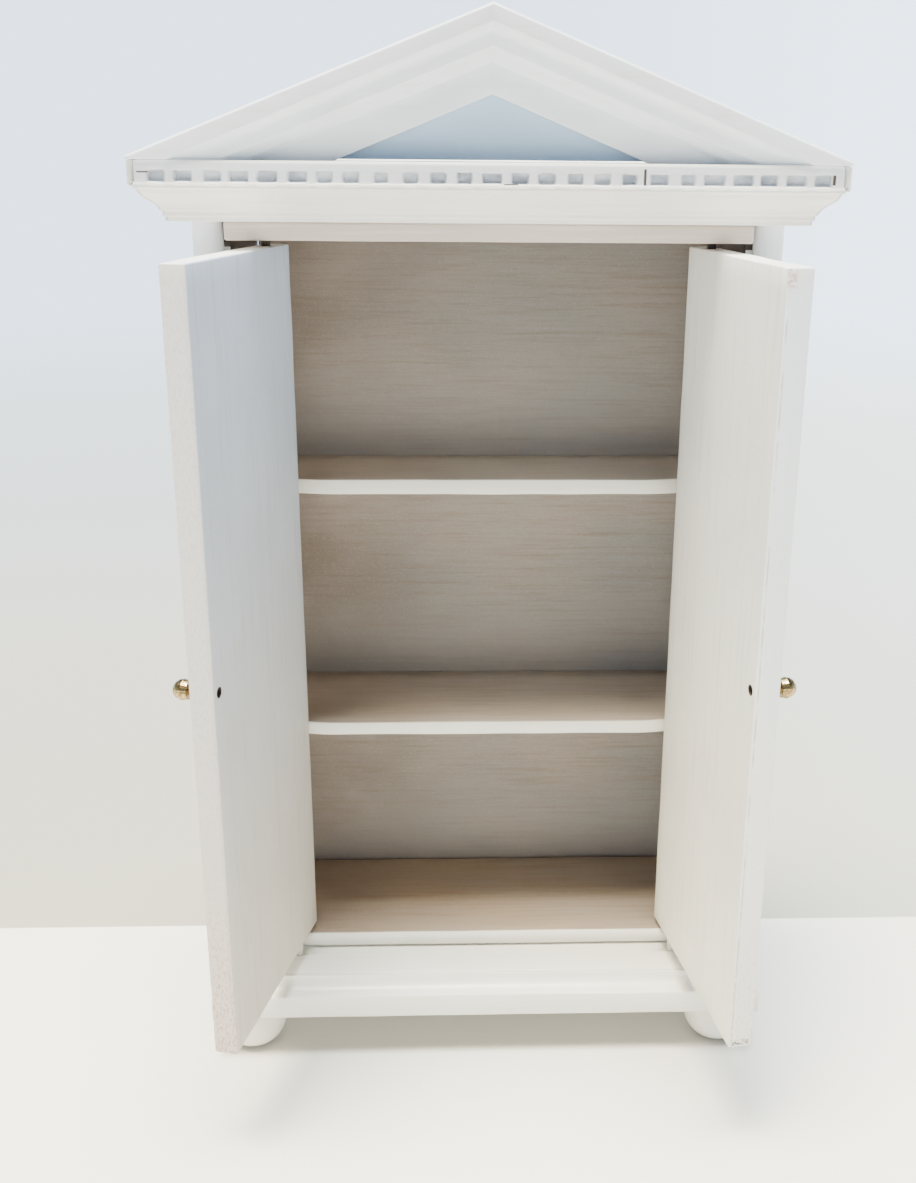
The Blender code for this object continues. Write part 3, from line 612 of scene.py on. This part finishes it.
def split_arris(look, colour, end, half):
    """A reddish hairline beside the free edge's inner arris, and a chip at either end."""
    gaps = look.rise(look.cells((0.2, 0.2, 0.16), 3.0, 0.7, 5.0), 0.40, 0.60)
    line = look.span("Y", *(half - inset for inset in SPLIT_INSET), 0.1)
    colour = look.blend(look.times(line, gaps, end, 0.55), colour, PORE_BROWN)
    flakes = look.rise(look.cells((1.1, 1.1, 2.2), 3.0, 0.7, 9.0), 0.44, 0.56)
    chips = (
        (-1.7, 1.7, 0.35, 1.5, DARK_GAP_AND_SHADE, 0.9),
        (0.6, half, 137.0, 139.9, CHIP_RED, 0.6),
    )
    for near, far, foot, top, tone, strength in chips:
        across, upright = look.span("Y", near, far, 0.3), look.span("Z", foot, top, 0.4)
        chip = look.times(across, upright, flakes, end, strength)
        colour = look.blend(chip, colour, tone)
    return colour


SHANK_SHADE = (-1.5, 0.0)


def brass(side):
    """Tarnished brass; the shank's end, deep in its hole, is painted nearly black as shade."""
    look = Finish(side + "_knob_brass", *door_frame(side))
    tarnish = look.rise(look.cells((1.3, 1.3, 1.3), 4.0, 0.65), 0.40, 0.62)
    colour = look.blend(tarnish, BRASS, TARNISH)
    # Painted shade on the shank's end.
    colour = look.blend(look.rise(look.axis("Y"), *SHANK_SHADE), colour, DARK_GAP_AND_SHADE)
    look.surface.inputs["Metallic"].default_value = 1.0
    roughness = look.plus(look.times(tarnish, 0.14), 0.2)
    scratches = look.cells((3.0, 3.0, 12.0), 2.0, 0.5, 4)
    return look.finish(colour, roughness, scratches, 0.02)


def dark_wire(name):
    look = Finish(name)
    stain = look.cells((2.0, 2.0, 0.8), 3.0, 0.6)
    colour = look.blend(stain, WIRE, WIRE_STAIN)
    look.surface.inputs["Specular IOR Level"].default_value = 0.15
    return look.finish(colour, 0.85, stain, 0.02)


# ---- Working a CAD solid over ------------------------------------------------------

FLAT_ANGLE = 0.5  # edges that turn less are dissolved
EASED_ANGLE = 28  # edges that turn more are eased
SHADING_ANGLE = 38  # edges that turn more are shaded as corners
UNEVEN_SPACING = 9


def cut_into_cells(bm, cell):
    """Slices across the long directions, so that the faces can be made uneven."""
    low = Vector([min(v.co[i] for v in bm.verts) for i in range(3)])
    high = Vector([max(v.co[i] for v in bm.verts) for i in range(3)])
    for i in range(3):
        normal = Vector([1 if k == i else 0 for k in range(3)])
        count = int((high[i] - low[i]) / cell)
        for k in range(1, count):
            place = low + (high - low) * k / count
            everything = [*bm.verts, *bm.edges, *bm.faces]
            bmesh.ops.bisect_plane(
                bm, geom=everything, plane_co=place, plane_no=normal, dist=1e-7
            )


def make_uneven(bm, amount, spacing, seed):
    """Moves each point a little along its normal, by smooth noise."""
    bm.normal_update()
    offsets = []
    for vertex in bm.verts:
        sample = vertex.co / spacing + Vector((seed, 2.3 * seed, -1.7 * seed))
        offsets.append(vertex.normal * noise.noise(sample) * amount)
    for vertex, offset in zip(bm.verts, offsets):
        vertex.co += offset


def reach_out(bm, letter, direction, amount, depth=0.3):
    """Moves one end of a piece, to a depth, outwards over the glue line beside it."""
    k = "xyz".index(letter)
    end = max(direction * v.co[k] for v in bm.verts)
    for vertex in bm.verts:
        if direction * vertex.co[k] > end - depth * MM:
            vertex.co[k] += direction * amount * MM


def sharp_edges(bm, degrees):
    limit = math.radians(degrees)
    return [e for e in bm.edges if len(e.link_faces) == 2 and e.calc_face_angle() > limit]


def show(name, bm, body, material, slot, *stands_for):
    """Makes the piece, puts it on its body and hides the CAD nodes that it stands for."""
    mesh = bpy.data.meshes.new(name)
    bmesh.ops.recalc_face_normals(bm, faces=bm.faces)
    bm.to_mesh(mesh)
    bm.free()
    mesh.shade_smooth()
    mesh.set_sharp_from_angle(angle=math.radians(SHADING_ANGLE))
    mesh.materials.append(material)
    piece = bpy.data.objects.new(name, mesh)
    bpy.context.scene.collection.objects.link(piece)
    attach(piece, body)
    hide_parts(*stands_for)
    return piece


def worked(
    node, body, material, slot="white_paint", ease=0.0, cell=4.0, uneven=0.05, seed=0.0, closed=()
):
    """A CAD node's solid with slightly uneven faces and, with ease, rounded arrises.

    Closed is a list of (axis, direction, amount, depth of a slanted end): ends that
    cover their glue lines.
    """
    bm = bmesh.new()
    bm.from_mesh(frame["nodes"][node].data)
    bmesh.ops.remove_doubles(bm, verts=bm.verts, dist=1e-6)
    flat = math.radians(FLAT_ANGLE)
    bmesh.ops.dissolve_limit(bm, angle_limit=flat, verts=bm.verts, edges=bm.edges)
    if ease:
        bmesh.ops.bevel(
            bm,
            geom=sharp_edges(bm, EASED_ANGLE),
            offset=ease * MM,
            segments=2,
            profile=0.5,
            affect="EDGES",
            clamp_overlap=True,
        )
    for end in closed:
        reach_out(bm, *end)
    cut_into_cells(bm, cell * MM)
    make_uneven(bm, uneven * MM, UNEVEN_SPACING * MM, seed)
    return show(node + "_wood", bm, body, material, slot, node)


# ---- The wardrobe's pieces -----------------------------------------------------------

GLUE = 0.29
APEX_LAP = 0.3
LIP_LAP = 0.42
MITRE = 9.0  # depth of a mitred end
RETURNS = (("front", "X"), ("left", "Y"), ("right", "Y"))


def finish_carcass():
    body = "cabinet"
    for side, shift in (("left", 1.0), ("right", 2.0)):
        material = side_panel_finish(side + "_side_paint", side, shift)
        closed = (("z", 1, GLUE), ("z", -1, GLUE))
        worked(side + "_side_panel", body, material, seed=shift, closed=closed)
        name = side + "_column"
        # Painted bluish light on the columns.
        material = painted(name + "_paint", "Z", 15.0 + shift, tone=BLUE_LIT_WHITE)
        worked(name, body, material, seed=15, closed=closed)
    worked("back_panel", body, back_finish(), "washed_wood", cell=6, seed=3)
    washes = (
        ("floor_board", FLOOR_WASH),
        ("lower_shelf", SHELF_WASH),
        ("upper_shelf", SHELF_WASH),
    )
    for shift, (node, wash) in enumerate(washes, 4):
        material = washed_with_painted_front(node + "_finish", shift, wash)
        closed = (("z", -1, LIP_LAP),) if node == "floor_board" else ()
        worked(node, body, material, "washed_wood", uneven=0.1, seed=shift, closed=closed)
    # Painted shade under the crown, with much grain showing through the thin paint.
    material = painted("lintel_paint", "X", 7.0, 0.9, tone=LINTEL_SHADE_TONE)
    worked("lintel_rail", body, material, seed=7, closed=(("z", 1, GLUE),))
    material = painted("base_board_paint", "X", 10.0, tone=WARM_WHITE, dull=GLOSSY)
    worked("base_board", body, material, cell=6, seed=10)
    for place in ("front_left", "front_right", "rear_left", "rear_right"):
        name = place + "_foot"
        material = painted(name + "_paint", "X", 16.0, 0.1, tone=WARM_WHITE)
        worked(name, body, material, cell=3, seed=16, closed=(("z", 1, GLUE),))


def finish_mouldings():
    body = "cabinet"
    worked("top_board", body, painted("top_board_paint", "X", 8.0), cell=6, seed=8)
    worked("cornice_board", body, painted("cornice_board_paint", "X", 9.0), cell=6, seed=9)
    kinds = (
        ("crown_moulding", WHITE, SATIN, 0.15),
        ("base_moulding", WARM_WHITE, GLOSSY, 0.35),
    )
    for k, (node, tone, dull, ease) in enumerate(kinds):
        for place, axis in RETURNS:
            name = f"{node}_{place}"
            mitres = (("x", 1), ("x", -1)) if place == "front" else (("y", -1),)
            ends = [(*mitre, GLUE, MITRE) for mitre in mitres]
            material = painted(name + "_paint", axis, 12.0 + k, tone=tone, dull=dull)
            worked(name, body, material, ease=ease, seed=12 + k, closed=ends)
    for side in SIDES:
        name = side + "_raking_cornice"
        ends = (("x", -SIDES[side], APEX_LAP), ("z", -1, GLUE, 0.05))
        # Painted bluish light on the raking mouldings.
        material = painted(name + "_paint", "X", 14.0, tone=BLUE_LIT_WHITE)
        worked(name, body, material, ease=0.12, seed=14, closed=ends)
    worked("pediment_board", body, tympanum_finish(), cell=5, seed=11)
    add_dentil_front()
    for side in SIDES:
        name = "dentil_strip_" + side
        worked(name, body, painted(name + "_paint", "Y", 17.0, 0.1), ease=0.2, seed=17)


# ---- The dentil strip across the front ------------------------------------------

NOTCHES = 25
NOTCH_PITCH = 4.6
NOTCH_WIDTH = 2.75
NOTCH_DEPTH = 1.15
NOTCH_SWAY = 0.6
NOTCH_SWELL = 0.34
FACE_BACK = 0.5
BAND_HEIGHT = 1.62
LIP_TOP = 0.72
SOFT_EDGE = 0.3
LAP_BACK = 0.4  # back of the thin lap over the crown's edge
SEAT_DEPTH = 3.5  # underside of the strip where it sits on the crown


def notch_places():
    """(start, end) of each hand-cut notch; no two are alike."""
    places = []
    for k in range(NOTCHES):
        sway = noise.noise(Vector((0.83 * k, 1.7, 0.4)))
        swell = noise.noise(Vector((1.31 * k, 8.2, 3.4)))
        middle = (k - (NOTCHES - 1) / 2) * NOTCH_PITCH + NOTCH_SWAY * sway
        half = NOTCH_WIDTH / 2 * (1 + NOTCH_SWELL * swell)
        places.append((middle - half, middle + half))
    return places


def dentil_stations():
    """(place along the strip, how far cut in: 0 on a tooth, 1 in a notch)."""
    stations = []
    for start, end in notch_places():
        quarter = (end - start) / 4
        stations += [(start - SOFT_EDGE, 0.0), (start, 0.25), (start + SOFT_EDGE, 0.9)]
        stations += [(start + quarter, 1.0), (end - quarter, 1.0)]
        stations += [(end - SOFT_EDGE, 0.9), (end, 0.25), (end + SOFT_EDGE, 0.0)]
    return stations


def dentil_section(cut, low, high, front, back, wobble):
    """Section (y, z) of the strip, from its top round the front to its foot.

    The teeth stand a little behind the front plane, and a bead of paint runs
    along their foot, thicker under the notches.
    """
    face = front + FACE_BACK
    recess = face + NOTCH_DEPTH * cut * (1 + 0.2 * wobble)
    band = high - BAND_HEIGHT - 0.25 * wobble
    ledge = low + LIP_TOP + 0.12 * wobble
    proud = front + 0.30 - 0.30 * cut
    return [
        (back, high),
        (face + 0.62, high),
        (face + 0.30, high - 0.07),
        (face + 0.09, high - 0.27),
        (face, high - 0.58),
        (face, band + 0.26),
        (face + 0.10 * cut, band + 0.06),
        (face + (recess - face) * 0.6, band - 0.05),
        (recess, band - 0.26),
        (recess, ledge + 0.26),
        (face + (recess - face) * 0.6, ledge + 0.04),
        (proud + 0.26, ledge),
        (proud + 0.07, ledge - 0.11),
        (proud, ledge - 0.28),
        (proud + 0.07, ledge - 0.45),
        (face, low + 0.10),
        (face + 0.14, low),
    ]


def add_dentil_front():
    """A strip cut by hand: uneven notches, rounded by paint."""
    low, high = box_mm("dentil_strip_front")
    inner = high.y
    lap = low.y + LAP_BACK
    seat = high.z - SEAT_DEPTH
    bm = bmesh.new()
    rings = []
    stations = [(None, 0.0)] + dentil_stations() + [(None, 0.0)]
    for index, (x, cut) in enumerate(stations):
        wobble = noise.noise(Vector((0.37 * index, 4.4, 2.2)))
        section = dentil_section(cut, low.z, high.z, low.y, inner, wobble)
        section += [(lap, low.z), (lap, seat), (inner, seat)]
        ring = []
        for y, z in section:
            place = x
            if x is None:
                reach = low.x if index == 0 else high.x
                place = reach - math.copysign(y - low.y, reach)
            ring.append(bm.verts.new(Vector((place, y, z)) * MM))
        rings.append(ring)
    for first, second in zip(rings, rings[1:]):
        for k in range(len(first)):
            after = (k + 1) % len(first)
            bm.faces.new((first[k], first[after], second[after], second[k]))
    bm.faces.new(rings[0])
    bm.faces.new(list(reversed(rings[-1])))
    material = dentil_paint(low, high)
    show("dentil_front", bm, "cabinet", material, "white_paint", "dentil_strip_front")


# Painted light on the dentil strip: its white tinted blue as if lit by the bluish room light, a
# brighter white painting highlights on the bead and brim, and grey painting shade in the notches.
BLUE_LIT_DENTIL_WHITE = (0.79, 0.83, 0.89, 1)
HIGHLIGHT_WHITE = (0.95, 0.96, 0.95, 1)
NOTCH_SHADE = (0.26, 0.29, 0.36, 1)
BEAD_RISE = (0.95, 0.75)  # above the strip's foot
BRIM_DROP = (0.62, 0.35)  # below its top
GREY_FOOT = (0.8, 1.1)
GREY_HEAD = (2.75, 2.4)
GREY_DEPTH = (0.35, 1.0)
DENTIL_CRACKS = (  # across from, to; above the foot from, to
    (25.0, 25.45, 0.7, 3.3),
    (-58.1, -56.3, 2.1, 2.35),
    (56.6, 57.1, 1.0, 2.6),
    (1.9, 4.3, 0.60, 0.80),
)


def dentil_paint(low, high):
    """Bluish white paint with painted highlights on bead and brim and painted shade in the
    notches; an open joint and a few dark slits.
    """
    look = Finish("dentil_front_paint")
    colour, height = paint_layers(look, "X", 17.0, 0.1, BLUE_LIT_DENTIL_WHITE)
    # Painted highlights on the bead and the brim.
    bead = look.rise(look.axis("Z"), *(low.z + rise for rise in BEAD_RISE))
    brim = look.rise(look.axis("Z"), *(high.z - drop for drop in BRIM_DROP))
    colour = look.blend(look.math("MAXIMUM", bead, brim), colour, HIGHLIGHT_WHITE)
    # Painted shade in the notches, patchy.
    under_band = look.rise(look.axis("Z"), *(low.z + rise for rise in GREY_HEAD))
    above_bead = look.rise(look.axis("Z"), *(low.z + rise for rise in GREY_FOOT))
    inside = look.rise(look.axis("Y"), *(low.y + depth for depth in GREY_DEPTH))
    painted_shade = look.rise(look.cells((0.14, 0.3, 0.3), 3.0, 0.7, 2.0), 0.3, 0.75)
    strength = look.plus(look.times(painted_shade, 0.75), 0.2)
    grey = look.times(inside, above_bead, under_band, strength)
    colour = look.blend(grey, colour, NOTCH_SHADE)
    for start, end, foot, top in DENTIL_CRACKS:
        across = look.span("X", start, end, 0.08)
        upright = look.span("Z", low.z + foot, low.z + top, 0.1)
        colour = look.blend(look.times(across, upright), colour, DARK_GAP_AND_SHADE)
    return look.finish(colour, 0.5, height, 0.05)


def finish_pins():
    """Dark wire under the lintel; the lower pins were painted over with the base."""
    finishes = {
        "upper": dark_wire("hinge_wire"),
        "lower": painted("lower_pin_paint", "Z", 19.0, 0.6, tone=WARM_WHITE),
    }
    for side in SIDES:
        for place, material in finishes.items():
            node = frame["nodes"][f"{side}_{place}_hinge_pin"]
            node.data.materials.clear()
            node.data.materials.append(material)


def finish_doors():
    for side, shift in (("left", 31.0), ("right", 43.0)):
        name = side + "_door"
        worked(name, name, door_finish(side, shift), cell=3.5, uneven=0.08, seed=shift)
        knob = frame["nodes"][side + "_knob"]
        knob.data.materials.clear()
        knob.data.materials.append(brass(side))


add_camera()
add_world()
add_lights()
add_floor()
finish_carcass()
finish_mouldings()
finish_pins()
finish_doors()
